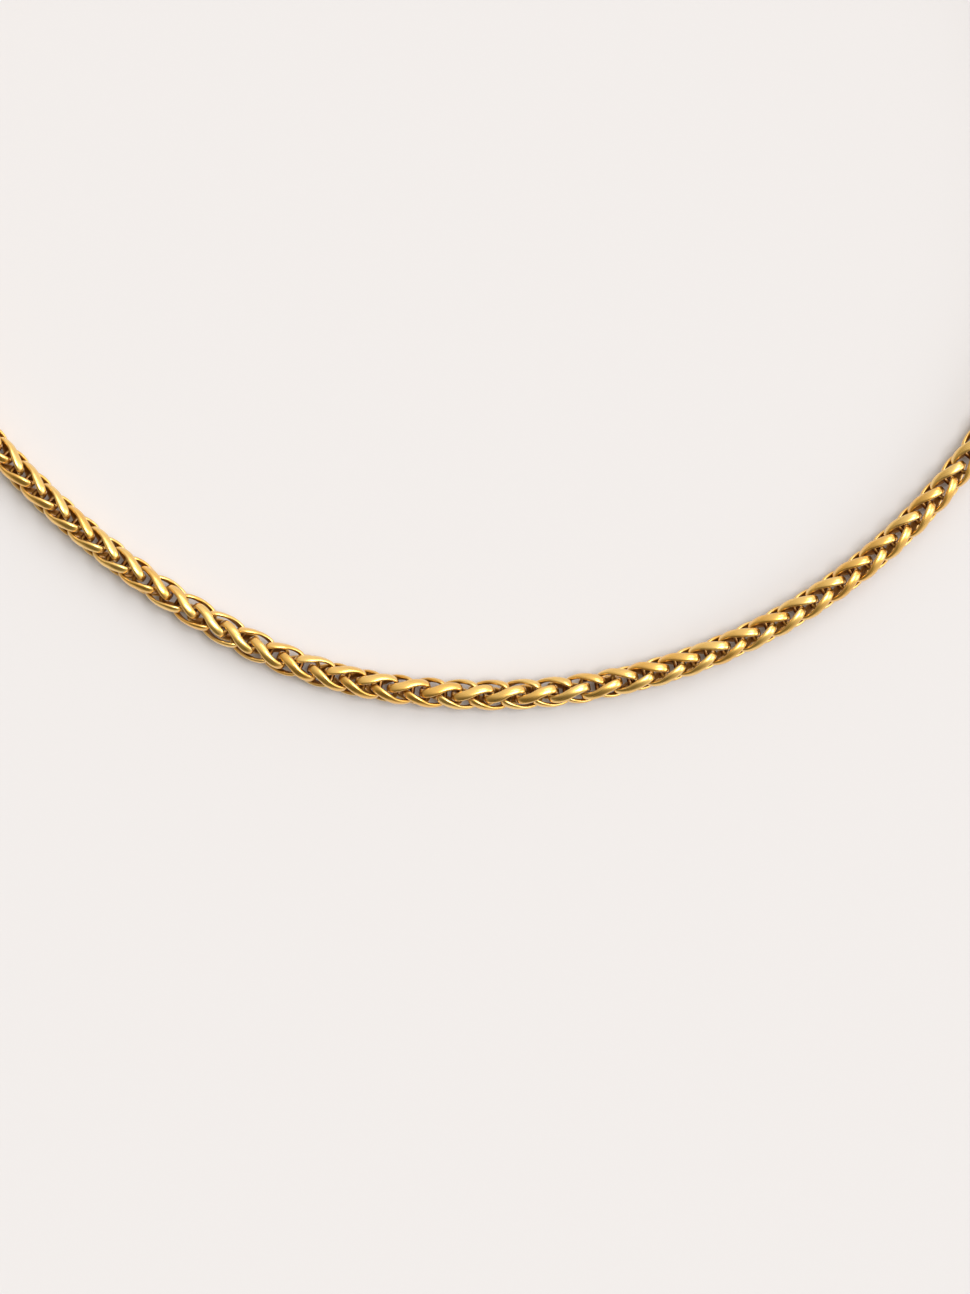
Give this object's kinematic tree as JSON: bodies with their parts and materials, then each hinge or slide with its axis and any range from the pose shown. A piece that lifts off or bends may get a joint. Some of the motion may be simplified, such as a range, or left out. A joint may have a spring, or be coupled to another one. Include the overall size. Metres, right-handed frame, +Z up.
{
  "type": "wheat chain necklace",
  "caption": "Gold-tone wheat chain necklace of interlocking twisted links in four rows, closed by a plain barrel clasp and lying flat in a round loop.",
  "frame": {"origin": "middle of the necklace's bounding box seen from above, on the surface that it lies on", "axes": "+Z up out of the surface, -Y towards the front of the necklace, +Y towards the clasp, +X to the right as the picture shows it"},
  "size_m": [0.1548, 0.1373, 0.004],
  "materials": {
    "gold_chain": "polished gold tone, softly worn",
    "gold_rings": "polished gold tone",
    "gold_clasp": "polished gold tone"
  },
  "bodies": {
    "root": {"chain_front": "gold_chain", "chain_back": "gold_chain", "ring_left": "gold_rings", "ring_right": "gold_rings", "clasp": "gold_clasp"}
  },
  "joints": []
}
